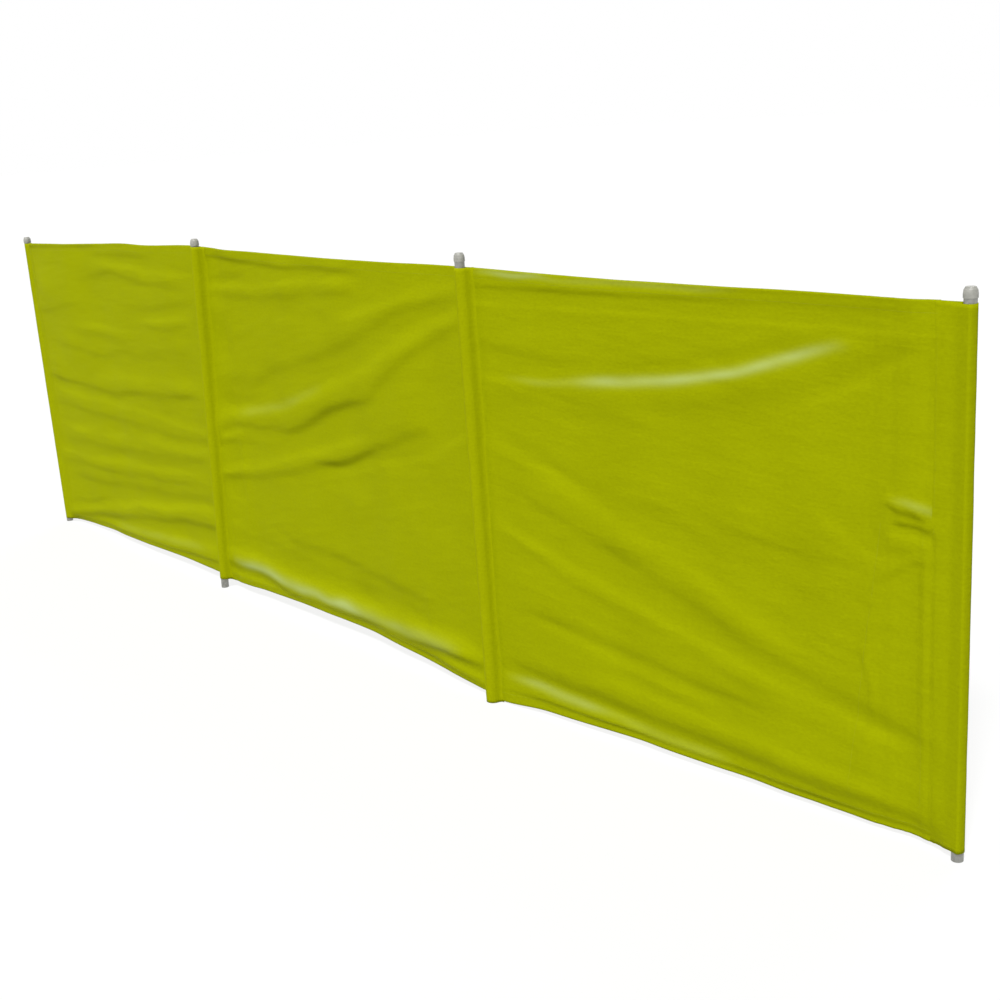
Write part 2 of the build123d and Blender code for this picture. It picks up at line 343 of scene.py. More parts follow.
# Upright creases: to the right of the line the cloth stands further back, so the crease faces
# right. Each is (step, half width in mm, points as height and distance along), with the same
# factor on its step.
bay_2_upright = [
    (-0.6, 7, [(150, 1300), (270, 1290)]),
    (0.6, 7, [(150, 1330), (270, 1322)]),
]
bay_3_upright = [
    (-2.4, 5, [(100, 1209), (162, 1224), (375, 1259), (450, 1236), (550, 1261), (650, 1280)]),
    (2.0, 6, [(100, 1222), (162, 1237), (375, 1272), (450, 1249), (550, 1274), (650, 1293)]),
    (-2.2, 5, [(250, 1388), (387, 1388), (600, 1389), (760, 1390)]),
    (1.8, 6, [(250, 1401), (387, 1401), (600, 1402), (760, 1403)]),
    (-1.5, 5, [(760, 1413), (950, 1409), (1200, 1409)]),
    (-1.8, 5, [(1190, 1464), (1225, 1453), (1262, 1436)]),
]

# Painted highlights: folds that face the sky are coloured paler where the sky's sheen would light them,
# as (share, half width in mm, points in mm)
bay_1_painted_sheen = [(0.10, 14, [(500, 72), (900, 95), (1300, 118)])]
bay_2_painted_sheen = [
    (0.75, 15, [(120, 128), (260, 135), (450, 118), (700, 110), (900, 112)]),
    (0.36, 17, [(760, 112), (1000, 112), (1200, 115), (1450, 122)]),
    (0.10, 16, [(250, 712), (500, 762), (800, 858)]),
]
bay_3_painted_sheen = [
    (0.64, 12, [
        (410, 1003), (520, 1013), (650, 1025), (825, 1056),
        (950, 1085), (1075, 1122), (1170, 1153),
    ]),
    (0.12, 10, [(150, 990), (260, 989), (450, 1008)]),
    (0.48, 7, [(60, 1276), (160, 1273), (330, 1266)]),
    (0.16, 7, [(330, 1266), (620, 1262), (900, 1258)]),
    (0.36, 12, [(90, 92), (200, 91), (330, 84), (450, 75)]),
    (0.14, 12, [(450, 75), (635, 60), (840, 52)]),
    (0.90, 9, [(1350, 826), (1410, 808)]),
]
bay_painted_sheen = [bay_1_painted_sheen, bay_2_painted_sheen, bay_3_painted_sheen]

top_edges = [smooth_line(points) for points in top_edges_mm]
lower_edges = [smooth_line(points) for points in lower_edges_mm]
bay_creases = [bay_1_creases, bay_2_creases, bay_3_creases]
# How steeply each bay's fine wrinkles climb along it
drawn_slopes = [0.04, 0.26, -0.16]
bay_upright = [[], bay_2_upright, bay_3_upright]


def fold_step(across):
    """A step from 0 to 1 that is steepest at 0, with a half width of 1."""
    steepness = 1.1
    return 0.5 + 0.5 * np.tanh(across * steepness)


# How a crease dies out at its ends: short ones quickly, long ones slowly
short_crease = 0.15
short_fade_share = 0.12
long_fade_share = 0.5
longest_fade = 0.11


def crease_out(along, height, crease):
    """How far one crease moves the cloth out, at points beside and along its line."""
    step_mm, half_width_mm, points_mm = crease
    line = smooth_line(points_mm)
    start, end = points_mm[0][0] / 1000, points_mm[-1][0] / 1000
    length = end - start
    fade = min(longest_fade, short_fade_share * length + long_fade_share * max(0, length - short_crease))
    near = 0.002
    slope = (line(along + near) - line(along - near)) / (2 * near)
    across = (line(along) - height) / np.sqrt(1 + slope * slope)
    strength = smooth_step((along - start + fade) / (2 * fade))
    strength = strength * smooth_step((end + fade - along) / (2 * fade))
    return step_mm / 1000 * strength * (fold_step(across / (half_width_mm / 1000)) - 0.5)


# Smooth unevenness, as (size, length along the bay, length up it, seed), all but the seed in metres
crease_wander = [(0.0035, 0.11, 0.07, 11), (0.0015, 0.045, 0.03, 21)]
crease_unevenness = [(0.35, 0.16, 0.12, 31)]
slack_waves = [(0.0011, 0.30, 0.10, 41), (0.0005, 0.12, 0.045, 51)]
drawn_wrinkles = [(0.0004, 0.13, 0.017, 61), (0.00016, 0.06, 0.0095, 65)]
painted_sheen_wander = [(0.004, 0.09, 0.06, 91)]
painted_sheen_unevenness = [(0.3, 0.08, 0.02, 97)]
# Creases run nearly straight beside a hem and wander fully only well inside the cloth
calm_share = 0.15
calm_width = 0.05
calm_fade = 0.08


def waves(bay, along, height, layers):
    """The sum of several layers of smooth unevenness."""
    return sum(
        size * soft_noise(along / along_length, height / up_length, seed + bay)
        for size, along_length, up_length, seed in layers
    )


# How a painted highlight runs past its fold's ends and fades, and the strongest that it gets
painted_sheen_overrun = 0.05
painted_sheen_fade = 0.16
strongest_painted_sheen = 0.9


def painted_fold_sheen(bay, along, height):
    """How much paler the cloth is coloured, from 0 to 1, along the folds that face the sky: a painted
    highlight for their sheen.
    """
    wander = waves(bay, along, height, painted_sheen_wander)
    uneven = 1 + waves(bay, along, height, painted_sheen_unevenness)
    painted_sheen = 0 * along
    for share, half_width_mm, points_mm in bay_painted_sheen[bay]:
        start, end = points_mm[0][0] / 1000, points_mm[-1][0] / 1000
        ends = smooth_step((along - start + painted_sheen_overrun) / painted_sheen_fade)
        ends = ends * smooth_step((end + painted_sheen_overrun - along) / painted_sheen_fade)
        across = (height + wander - smooth_line(points_mm)(along)) / (half_width_mm / 1000)
        painted_sheen = painted_sheen + share * uneven * ends * np.exp(-across * across)
    return np.clip(painted_sheen, 0, strongest_painted_sheen)


def plane_out(bay, along):
    """How far a bay's plane has come forward: behind an inner pole, but centred on an end pole."""
    if bay == 0:
        share = (bay_width(bay) - along) / (bay_width(bay) - end_sleeve_depth)
    elif bay == bay_count - 1:
        share = along / (bay_width(bay) - end_sleeve_depth)
    else:
        share = 0 * along
    return cloth_offset * np.clip(share, 0, 1)


# The cloth is drawn in along a sleeve's seam
groove_half_width = 0.009
end_groove_depth = 0.0002
inner_groove_depth = 0.0010
# How far beside an inner sleeve its crease runs
inner_crease_offset = 0.006
# The cloth lies flat round a pole and its folds begin beside it
flat_beside_pole = 0.012
fold_start_width = 0.030


def seam_groove(number):
    """Where beside a pole its sleeve's seam draws the cloth in, and how far."""
    if is_inner(number):
        return inner_sleeve_half_width + inner_crease_offset, inner_groove_depth
    return end_sleeve_depth + seam_width / 2, end_groove_depth


def cloth_out(bay, along, height):
    """How far the cloth of a bay stands out from its flat plane, at arrays of its own coordinates."""
    wander = waves(bay, along, height, crease_wander)
    uneven = 1 + waves(bay, along, height, crease_unevenness)
    from_hem = np.minimum(top_edges[bay](along) - height, height - lower_edges[bay](along))
    wander *= calm_share + (1 - calm_share) * smooth_step((from_hem - calm_width) / calm_fade)
    depth = crease_factors[bay] * (1 + deeper_at_foot[bay] * (1 - height / half_height))
    out = np.zeros_like(along)
    for crease in bay_creases[bay]:
        out += depth * uneven * crease_out(along, height + wander, crease)
    for crease in bay_upright[bay]:
        out -= crease_factors[bay] * crease_out(height, along + wander / 3, (-crease[0], *crease[1:]))
    out += waves(bay, along, height, slack_waves)
    out += waves(bay, along, height - drawn_slopes[bay] * along, drawn_wrinkles)
    left = along - pole_along(bay, 0, height)
    right = pole_along(bay, 1, height) - along
    for away in (left, right):
        out *= smooth_step((away - flat_beside_pole) / fold_start_width)
    for number, away in ((bay, left), (bay + 1, right)):
        seam, groove = seam_groove(number)
        out -= groove * np.exp(-(((away - seam) / groove_half_width) ** 2))
    return out + plane_out(bay, along)


def object_from(name, points, faces, material, uvs=None, painted_sheen=None):
    """A smooth mesh piece that rides on the body, with its place in its mesh."""
    mesh = bpy.data.meshes.new(name)
    mesh.from_pydata([tuple(point) for point in points], [], faces)
    if uvs is not None:
        layer = mesh.uv_layers.new(name="cloth_uv")
        corner_points = np.zeros(len(mesh.loops), int)
        mesh.loops.foreach_get("vertex_index", corner_points)
        layer.data.foreach_set("uv", np.asarray(uvs)[corner_points].ravel())
    # Painted highlights on the folds, as a share at each point of the mesh
    if painted_sheen is not None:
        painted_sheen_layer = mesh.attributes.new("painted_fold_sheen", "FLOAT", "POINT")
        painted_sheen_layer.data.foreach_set("value", painted_sheen.astype(np.float32).ravel())
    mesh.shade_smooth()
    mesh.materials.append(material)
    piece = bpy.data.objects.new(name, mesh)
    bpy.context.scene.collection.objects.link(piece)
    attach(piece, "root")
    return piece


def grid_faces(rows, columns, turned=False):
    """Quads of a grid of points, row by row. Turned swaps which side is the outside."""
    corner = np.arange((rows - 1) * columns).reshape(rows - 1, columns)[:, :-1].ravel()
    faces = np.stack([corner, corner + 1, corner + 1 + columns, corner + columns], axis=1)
    return (faces[:, ::-1] if turned else faces).tolist()


def thicken(piece, thickness, side):
    """Give a sheet its thickness: side 1 adds it in front of the faces, -1 behind them."""
    modifier = piece.modifiers.new("thickness", "SOLIDIFY")
    modifier.thickness = thickness
    modifier.offset = side
    modifier.use_rim = True


# Shader helpers
def new_material(name):
    material = bpy.data.materials.new(name)
    material.use_nodes = True
    nodes, links = material.node_tree.nodes, material.node_tree.links
    return material, nodes, links, nodes["Principled BSDF"]


def surface_coordinates(nodes, kind):
    return nodes.new("ShaderNodeTexCoord").outputs[kind]


def noise_node(nodes, links, vector, scale=1.0, detail=2.0, roughness=0.5, stretch=None):
    """A noise pattern over coordinates, which may first be stretched by three factors."""
    if stretch is not None:
        mapping = nodes.new("ShaderNodeMapping")
        mapping.inputs["Scale"].default_value = stretch
        links.new(vector, mapping.inputs["Vector"])
        vector = mapping.outputs["Vector"]
    noise = nodes.new("ShaderNodeTexNoise")
    noise.inputs["Scale"].default_value = scale
    noise.inputs["Detail"].default_value = detail
    noise.inputs["Roughness"].default_value = roughness
    links.new(vector, noise.inputs["Vector"])
    return noise.outputs["Fac"]


def math_node(nodes, links, operation, first, second):
    """An operation on two values, of which the second may be a plain number."""
    node = nodes.new("ShaderNodeMath")
    node.operation = operation
    links.new(first, node.inputs[0])
    if isinstance(second, float):
        node.inputs[1].default_value = second
    else:
        links.new(second, node.inputs[1])
    return node.outputs["Value"]


def ranged(nodes, links, value, from_range=(0, 1), to_range=(0, 1)):
    """A value moved from one range to another and kept within it."""
    node = nodes.new("ShaderNodeMapRange")
    for label, amount in zip(("From Min", "From Max", "To Min", "To Max"), (*from_range, *to_range)):
        node.inputs[label].default_value = amount
    links.new(value, node.inputs["Value"])
    return node.outputs["Result"]


def mixed_colour(nodes, links, factor, low, high, blend="MIX"):
    """Two colours mixed by a factor. Either may be a plain colour or another node's output."""
    mix = nodes.new("ShaderNodeMix")
    mix.data_type = "RGBA"
    mix.blend_type = blend
    for label, colour in (("A", low), ("B", high)):
        if isinstance(colour, tuple):
            mix.inputs[label].default_value = (*colour, 1)
        else:
            links.new(colour, mix.inputs[label])
    if isinstance(factor, float):
        mix.inputs["Factor"].default_value = factor
    else:
        links.new(factor, mix.inputs["Factor"])
    return mix.outputs["Result"]


def bump_node(nodes, links, height, distance, strength, below=None):
    bump = nodes.new("ShaderNodeBump")
    bump.inputs["Distance"].default_value = distance
    bump.inputs["Strength"].default_value = strength
    links.new(height, bump.inputs["Height"])
    if below is not None:
        links.new(below, bump.inputs["Normal"])
    return bump.outputs["Normal"]


def woven_polyester(name, dark, light):
    """Plain woven lime polyester: crossing threads, slow changes of tone, painted highlights on folds, a
    faint sheen.
    """
    material, nodes, links, shader = new_material(name)
    along_cloth = surface_coordinates(nodes, "UV")
    threads = []
    for direction in ("X", "Y"):
        wave = nodes.new("ShaderNodeTexWave")
        wave.wave_type = "BANDS"
        wave.bands_direction = direction
        wave.wave_profile = "SIN"
        # At scale 1 the bands are a tenth of pi apart
        wave.inputs["Scale"].default_value = pi / 10 / thread_pitch
        wave.inputs["Distortion"].default_value = 0.6
        wave.inputs["Detail"].default_value = 1.0
        wave.inputs["Detail Scale"].default_value = 0.2
        links.new(along_cloth, wave.inputs["Vector"])
        threads.append(wave.outputs["Fac"])
    weave = math_node(nodes, links, "ADD", *threads)
    slow = noise_node(nodes, links, along_cloth, scale=5.0, detail=5.0, roughness=0.6)
    streaks = noise_node(nodes, links, along_cloth, detail=3.0, roughness=0.65, stretch=(14, 160, 1))
    tone = math_node(nodes, links, "ADD", slow, streaks)
    dyed = mixed_colour(nodes, links, ranged(nodes, links, tone, from_range=(0.6, 1.4)), dark, light)
    flecks = noise_node(nodes, links, along_cloth, detail=3.0, roughness=0.6, stretch=(90, 150, 1))
    darker, lighter = (0.86, 0.86, 0.86), (1.14, 1.14, 1.14)
    fleck_tones = mixed_colour(nodes, links, flecks, darker, lighter)
    flecked = mixed_colour(nodes, links, 1.0, dyed, fleck_tones, "MULTIPLY")
    # Painted highlights: the folds are coloured paler on the front alone, by which way the surface faces
    painted_sheen_layer = nodes.new("ShaderNodeAttribute")
    painted_sheen_layer.attribute_name = "painted_fold_sheen"
    directions = nodes.new("ShaderNodeSeparateXYZ")
    links.new(nodes.new("ShaderNodeNewGeometry").outputs["Normal"], directions.inputs["Vector"])
    on_front = ranged(nodes, links, directions.outputs["Y"], from_range=(0.2, -0.2))
    painted_sheen_share = math_node(nodes, links, "MULTIPLY", painted_sheen_layer.outputs["Fac"], on_front)
    links.new(mixed_colour(nodes, links, painted_sheen_share, flecked, painted_sheen_lime), shader.inputs["Base Color"])
    links.new(ranged(nodes, links, slow, to_range=(0.42, 0.56)), shader.inputs["Roughness"])
    crumple = noise_node(nodes, links, along_cloth, detail=5.0, roughness=0.6, stretch=(9, 22, 1))
    creased = bump_node(nodes, links, crumple, distance=0.004, strength=0.5)
    woven = bump_node(nodes, links, weave, distance=0.00012, strength=0.5, below=creased)
    links.new(woven, shader.inputs["Normal"])
    shader.inputs["Specular IOR Level"].default_value = 0.006
    shader.inputs["Specular Tint"].default_value = (0.95, 1.0, 0.3, 1)
    shader.inputs["Sheen Weight"].default_value = 0.04
    shader.inputs["Sheen Roughness"].default_value = 0.4
    shader.inputs["Sheen Tint"].default_value = (0.9, 1.0, 0.05, 1)
    return material


def sewing_thread(name, colour):
    """Twisted polyester thread of the same lime, a little darker than the cloth."""
    material, nodes, links, shader = new_material(name)
    twist = noise_node(nodes, links, surface_coordinates(nodes, "Object"), scale=900.0)
    lighter = tuple(min(1.0, channel * 1.25) for channel in colour)
    links.new(mixed_colour(nodes, links, twist, colour, lighter), shader.inputs["Base Color"])
    links.new(bump_node(nodes, links, twist, distance=0.0003, strength=0.5), shader.inputs["Normal"])
    shader.inputs["Roughness"].default_value = 0.6
    return material


def galvanised_tube(name, dark, light):
    """Dull galvanised steel: pale grey, with spangle patches and fine rubbed streaks up the tube."""
    material, nodes, links, shader = new_material(name)
    place = surface_coordinates(nodes, "Object")
    spangle = nodes.new("ShaderNodeTexVoronoi")
    spangle.inputs["Scale"].default_value = 140.0
    links.new(place, spangle.inputs["Vector"])
    patches = nodes.new("ShaderNodeSeparateColor")
    links.new(spangle.outputs["Color"], patches.inputs["Color"])
    streaks = noise_node(nodes, links, place, detail=3.0, stretch=(500, 500, 12))
    tone = math_node(nodes, links, "ADD", patches.outputs["Red"], streaks)
    mean_tone = math_node(nodes, links, "MULTIPLY", tone, 0.5)
    links.new(mixed_colour(nodes, links, mean_tone, dark, light), shader.inputs["Base Color"])
    links.new(ranged(nodes, links, streaks, to_range=(0.38, 0.58)), shader.inputs["Roughness"])
    links.new(bump_node(nodes, links, streaks, distance=0.0002, strength=0.3), shader.inputs["Normal"])
    shader.inputs["Metallic"].default_value = 0.75
    return material


def moulded_plastic(name, dark, light):
    """Grey moulded plastic with a fine grain and paler scuffed patches."""
    material, nodes, links, shader = new_material(name)
    place = surface_coordinates(nodes, "Object")
    grain = noise_node(nodes, links, place, scale=1400.0, detail=3.0)
    wear = noise_node(nodes, links, place, scale=90.0, detail=5.0, roughness=0.7)
    scuffs = ranged(nodes, links, wear, from_range=(0.35, 0.7))
    links.new(mixed_colour(nodes, links, scuffs, dark, light), shader.inputs["Base Color"])
    links.new(bump_node(nodes, links, grain, distance=0.0003, strength=0.35), shader.inputs["Normal"])
    shader.inputs["Roughness"].default_value = 0.5
    return material


# Materials
thread_pitch = 0.0009
# The colour of the painted highlights on the cloth's folds
painted_sheen_lime = (0.42, 0.50, 0.15)
bay_cloth = woven_polyester("lime_bay_cloth", (0.325, 0.362, 0.0008), (0.362, 0.405, 0.0015))
sleeve_cloth = woven_polyester("lime_sleeve_cloth", (0.335, 0.369, 0.0008), (0.373, 0.412, 0.0015))
# The end sleeves' doubled cloth, coloured a little darker than the bays' cloth as painted shade beside
# the end poles
painted_shade_doubled_cloth = woven_polyester("lime_doubled_cloth", (0.318, 0.354, 0.0008), (0.354, 0.396, 0.0015))
hem_cloth = woven_polyester("lime_hem_cloth", (0.305, 0.342, 0.0008), (0.345, 0.386, 0.0015))
pocket_cloth = woven_polyester("lime_pocket_cloth", (0.310, 0.346, 0.0008), (0.350, 0.392, 0.0015))
lime_thread = sewing_thread("lime_thread", (0.312, 0.348, 0.002))
tube_steel = galvanised_tube("galvanised_tube", (0.22, 0.22, 0.20), (0.36, 0.36, 0.33))
cap_plastic = moulded_plastic("grey_cap_plastic", (0.30, 0.30, 0.265), (0.43, 0.425, 0.385))

for number in range(pole_count):
    for kind, material in (("pole", tube_steel), ("cap", cap_plastic)):
        slots = frame["nodes"][f"{kind}_{number + 1}"].data.materials
        slots.clear()
        slots.append(material)


def bay_limits(bay, height):
    """The left and right limits of a bay's cloth at a height."""
    left = pole_along(bay, 0, height) + setback(bay)
    right = pole_along(bay, 1, height) - setback(bay + 1)
    return left, right


def bay_grid_points(bay, low, high, columns, rows, behind):
    """A bay's own coordinates and places on a grid between two heights given along the bay."""
    share_along = np.linspace(0, 1, columns)[None, :]
    share_up = np.linspace(0, 1, rows)[:, None]
    rough_along = share_along * bay_width(bay) + 0 * share_up
    height = low(rough_along) + share_up * (high(rough_along) - low(rough_along))
    for _ in range(2):
        left, right = bay_limits(bay, height)
        along = left + share_along * (right - left)
        height = low(along) + share_up * (high(along) - low(along))
    out = cloth_out(bay, along, height)
    return along, height, bay_places(bay, along, height, out - behind)


def bay_sheet(name, bay, low, high, behind, material):
    """A sheet of cloth that follows a bay, between two heights and at a depth behind its front."""
    columns = round(bay_width(bay) / bay_grid_along) + 1
    middle = np.array([bay_width(bay) / 2])
    rows = max(5, round(float((high(middle) - low(middle))[0]) / bay_grid_up) + 1)
    along, height, places = bay_grid_points(bay, low, high, columns, rows, behind)
    uvs = np.stack([along.ravel(), height.ravel()], axis=1)
    # Painted highlights along the folds that face the sky
    painted_sheen = painted_fold_sheen(bay, along, height)
    points, faces = places.reshape(-1, 3), grid_faces(rows, columns)
    piece = object_from(name, points, faces, material, uvs, painted_sheen)
    thicken(piece, cloth_layer, -1)
    return piece


# Bays of cloth with their folded hems
hem_behind = cloth_layer + 0.0003


def above(edge, rise):
    """A line along a bay at an even rise above one of its edges."""
    return lambda along: edge(along) + rise


for bay in range(bay_count):
    top, bottom = top_edges[bay], lower_edges[bay]
    hem_top, hem_bottom = above(top, -hem_width), above(bottom, hem_width)
    sheet = bay_sheet(f"bay_cloth_{bay + 1}", bay, bottom, top, 0, bay_cloth)
    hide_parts(f"cloth_bay_{bay + 1}")
    name = f"folded_top_hem_{bay + 1}"
    top_hem = bay_sheet(name, bay, hem_top, top, hem_behind, hem_cloth)
    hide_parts(f"top_hem_{bay + 1}")
    name = f"folded_bottom_hem_{bay + 1}"
    bottom_hem = bay_sheet(name, bay, bottom, hem_bottom, hem_behind, hem_cloth)
    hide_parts(f"bottom_hem_{bay + 1}")


def pole_frame(number):
    """The directions across a pole along the row, to the back, and up the pole."""
    bays_beside = range(max(number - 1, 0), min(number + 1, bay_count))
    level = sum((bay_directions(bay)[0] for bay in bays_beside), Vector()).normalized()
    axis = pole_axes[number]
    back = Vector((-level.y, level.x, 0))
    return back.cross(axis).normalized(), back, axis


def straight_points(start, end, count):
    return [start.lerp(end, share) for share in np.linspace(0, 1, count)[1:-1]]


def curved_points(start, control, end, count):
    """Points on a smooth curve that leaves its start and meets its end in the control's directions."""
    shares = np.linspace(0, 1, count)[1:-1]
    return [start.lerp(control, t).lerp(control.lerp(end, t), t) for t in shares]


def turned(point, angle):
    x = point.x * cos(angle) - point.y * sin(angle)
    y = point.x * sin(angle) + point.y * cos(angle)
    return Vector((x, y))


# Half an inner sleeve's dome, in degrees, and how far it stays inside the sleeve's half width
dome_steepest = 59
dome_inset = 0.001
# Points of an inner sleeve's side, as how far each lies beyond its half width and into its bay
sleeve_foot = (0.0005, -0.0006)
sleeve_crease = (0.0075, -0.0001)
sleeve_edge = (seam_width, 0.0005)


def inner_sleeve_profile(number, half_width, slack):
    """An inner sleeve's line across its pole: a slack dome that flares into its seams."""
    left_bay, right_bay = bay_directions(number - 1)[0], bay_directions(number)[0]
    turn = (atan2(right_bay.y, right_bay.x) - atan2(left_bay.y, left_bay.x)) / 2
    depth = cloth_offset - cloth_layer / 2
    reach = cloth_offset + cloth_layer / 2 + slack
    dome = [
        Vector(((half_width - dome_inset) * sin(angle), depth - (depth + reach) * cos(angle)))
        for angle in np.linspace(-radians(dome_steepest), radians(dome_steepest), 27)
    ]
    sides = []
    for side, start in ((-1, dome[0]), (1, dome[-1])):
        foot, crease, edge = (
            turned(Vector((side * (half_width + beyond), depth + inwards)), side * turn)
            for beyond, inwards in (sleeve_foot, sleeve_crease, sleeve_edge)
        )
        seam = [crease, crease.lerp(edge, 0.5), crease.lerp(edge, 1 - rim_share), edge]
        sides.append(curved_points(start, foot, crease, count=8) + seam)
    left, right = sides
    return left[::-1] + dome + right


def end_sleeve_profile(number, depth, slack):
    """An end sleeve's line across its pole, from the front seam round the pole to the back seam."""
    side = 1 if number == 0 else -1
    fullness = end_sleeve_fullness[number]
    reach = cloth_offset + cloth_layer / 2 + slack
    # Each point is how far it lies towards the bay and how far behind the pole's centre
    seam_edge = Vector((side * (depth + seam_width), 0.00036))
    crease = Vector((side * (depth + 0.002), -0.0005))
    hollow = Vector((side * 0.042, -0.0012))
    corner = Vector((-side * (reach * 0.6 + fullness), -reach - fullness))
    turn_start = crease.lerp(corner, 0.9 if fullness else 0.8)
    turn_start.y = -reach - fullness * 0.55
    outermost = Vector((-side * reach, -0.002 if fullness else 0.004))
    back_crease = Vector((side * depth, 0.0008))
    back_edge = Vector((side * (depth + 0.001), 0.0012))
    line = [seam_edge, seam_edge.lerp(crease, rim_share), seam_edge.lerp(crease, 0.5), crease]
    line += curved_points(crease, hollow, turn_start, count=16) + [turn_start]
    line += curved_points(turn_start, corner, outermost, count=14) + [outermost]
    back_start = asin(min(1, outermost.y / reach)) + 0.15
    for angle in np.linspace(back_start, pi / 2, 9):
        line.append(Vector((-side * reach * cos(angle), reach * sin(angle))))
    line += straight_points(line[-1], back_crease, count=9)
    return line + [back_crease, back_edge]


# How far a sleeve stands off its pole and is drawn in from its seams, and the slow unevenness of
# both up the sleeve, as (size, length up it, seed)
sleeve_slack = 0.0006
sleeve_draw = 0.001
slack_wrinkles = [(0.0004, 0.09, 1), (0.0002, 0.03, 2)]
width_wrinkles = [(0.001, 0.12, 5)]
# Where round its pole a sleeve starts to follow the folds of the cloth
sleeve_grip = 0.0155
# Puckers at the lower ends of the inner sleeves
pucker_depth = 0.0007
pucker_pitch = 0.034
pucker_slant = 0.9
pucker_top = 0.42
pucker_fade_up = 0.30
pucker_inner, pucker_inner_fade = 0.010, 0.010
pucker_outer, pucker_outer_fade = 0.042, 0.012


def wrinkles(number, height, layers):
    """A slow uneven amount up a sleeve."""
    return sum(
        size * soft_noise(np.array([height / length]), np.array([seed * 3.7]), 70 + seed + number)[0]
        for size, length, seed in layers
    )


def sleeve_line(number, height):
    """A sleeve's line across its pole at a height."""
    slack = sleeve_slack + wrinkles(number, height, slack_wrinkles)
    if is_inner(number):
        half_width = inner_sleeve_half_width - sleeve_draw + wrinkles(number, height, width_wrinkles)
        return inner_sleeve_profile(number, half_width, slack)
    return end_sleeve_profile(number, end_sleeve_depth, slack)


def sleeve_end_height(number, across, height, edges):
    """Where a sleeve ends: an end sleeve's end runs out level with its bay's own edge."""
    if is_inner(number):
        return height + 0 * across
    reach = end_sleeve_depth + seam_width
    seam_along = reach if number == 0 else bay_width(bay_count - 1) - reach
    edge = edges[min(number, bay_count - 1)](np.full(1, seam_along))[0]
    share = np.clip((abs(across) - tube_radius) / (reach - tube_radius), 0, 1)
    return height + share * (edge - height)


def sleeve_grid_points(number):
    """Places on a sleeve in rows up its pole, where its seams follow the folds of the cloth."""
    rows = round((cloth_tops[number] - sleeve_ends[number]) / sleeve_grid) + 1
    shares = np.linspace(0, 1, rows)[:, None]
    rough_heights = sleeve_ends[number] + shares[:, 0] * (cloth_tops[number] - sleeve_ends[number])
    lines = [[tuple(point) for point in sleeve_line(number, height)] for height in rough_heights]
    lines = np.array(lines)
    across, depth = lines[..., 0], lines[..., 1]
    low = sleeve_end_height(number, across, sleeve_ends[number], lower_edges)
    high = sleeve_end_height(number, across, cloth_tops[number], top_edges)
    height = low + shares * (high - low)
    free = (inner_sleeve_half_width if is_inner(number) else end_sleeve_depth) - sleeve_grip
    follow = smooth_step((abs(across) - sleeve_grip) / free)
    out = 0 * across
    for bay, end in ((number - 1, 1), (number, 0)):
        if 0 <= bay < bay_count:
            along = pole_along(bay, end, height) + across
            on_bay = across < 0 if end else across >= 0
            out = np.where(on_bay, cloth_out(bay, along, height) - plane_out(bay, along), out)
    depth = depth - out * follow
    if is_inner(number):
        pucker = np.sin(2 * pi * (height + pucker_slant * across) / pucker_pitch)
        pucker *= smooth_step((pucker_top - height) / pucker_fade_up)
        pucker *= smooth_step((abs(across) - pucker_inner) / pucker_inner_fade)
        pucker *= smooth_step((pucker_outer - abs(across)) / pucker_outer_fade)
        depth = depth - pucker_depth * pucker
    along_row, back, axis = pole_frame(number)
    places = np.array(pole_feet[number]) + (height / axis.z)[..., None] * np.array(axis)
    places = places + across[..., None] * np.array(along_row) + depth[..., None] * np.array(back)
    steps = np.hypot(np.diff(across, axis=1), np.diff(depth, axis=1))
    distance = np.concatenate([np.zeros((rows, 1)), np.cumsum(steps, axis=1)], axis=1)
    return places, np.stack([distance, height], axis=-1)


for number in range(pole_count):
    places, uvs = sleeve_grid_points(number)
    rows, columns = places.shape[:2]
    faces = grid_faces(rows, columns, turned=number == 0)
    # End sleeves take the doubled cloth with its painted shade
    cloth = sleeve_cloth if is_inner(number) else painted_shade_doubled_cloth
    name = f"pole_sleeve_{number + 1}"
    piece = object_from(name, places.reshape(-1, 3), faces, cloth, uvs.reshape(-1, 2))
    thicken(piece, cloth_layer, 0)
    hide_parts(f"sleeve_{number + 1}")


# Storage pocket on the back of the last bay
pocket_mouth_width = 0.112
pocket_bottom_width = 0.196
pocket_height = 0.676
pocket_bottom_height = 0.090
pocket_right = 1.3921
pocket_corner_radius = 0.024
pocket_hem_width = 0.020
pocket_behind = 0.0012
pocket_hem_behind = 0.0022
# How far the pocket bags, how soon above its foot it does, and how unevenly
pocket_slack = 0.004
pocket_bag_start = 0.08
pocket_ripple = [(0.5, 0.05, 0.09, 81)]
pocket_grid = 0.006
pocket_columns = 33


def pocket_span(height):
    """The pocket's left and right edges at a height, with its rounded lower corners."""
    share = (height - pocket_bottom_height) / pocket_height
    width = pocket_bottom_width + (pocket_mouth_width - pocket_bottom_width) * share
    up_corner = np.clip((height - pocket_bottom_height) / pocket_corner_radius, 0, 1)
    inset = pocket_corner_radius * (1 - np.sqrt(1 - (1 - up_corner) ** 2))
    return pocket_right - width + inset, pocket_right - inset


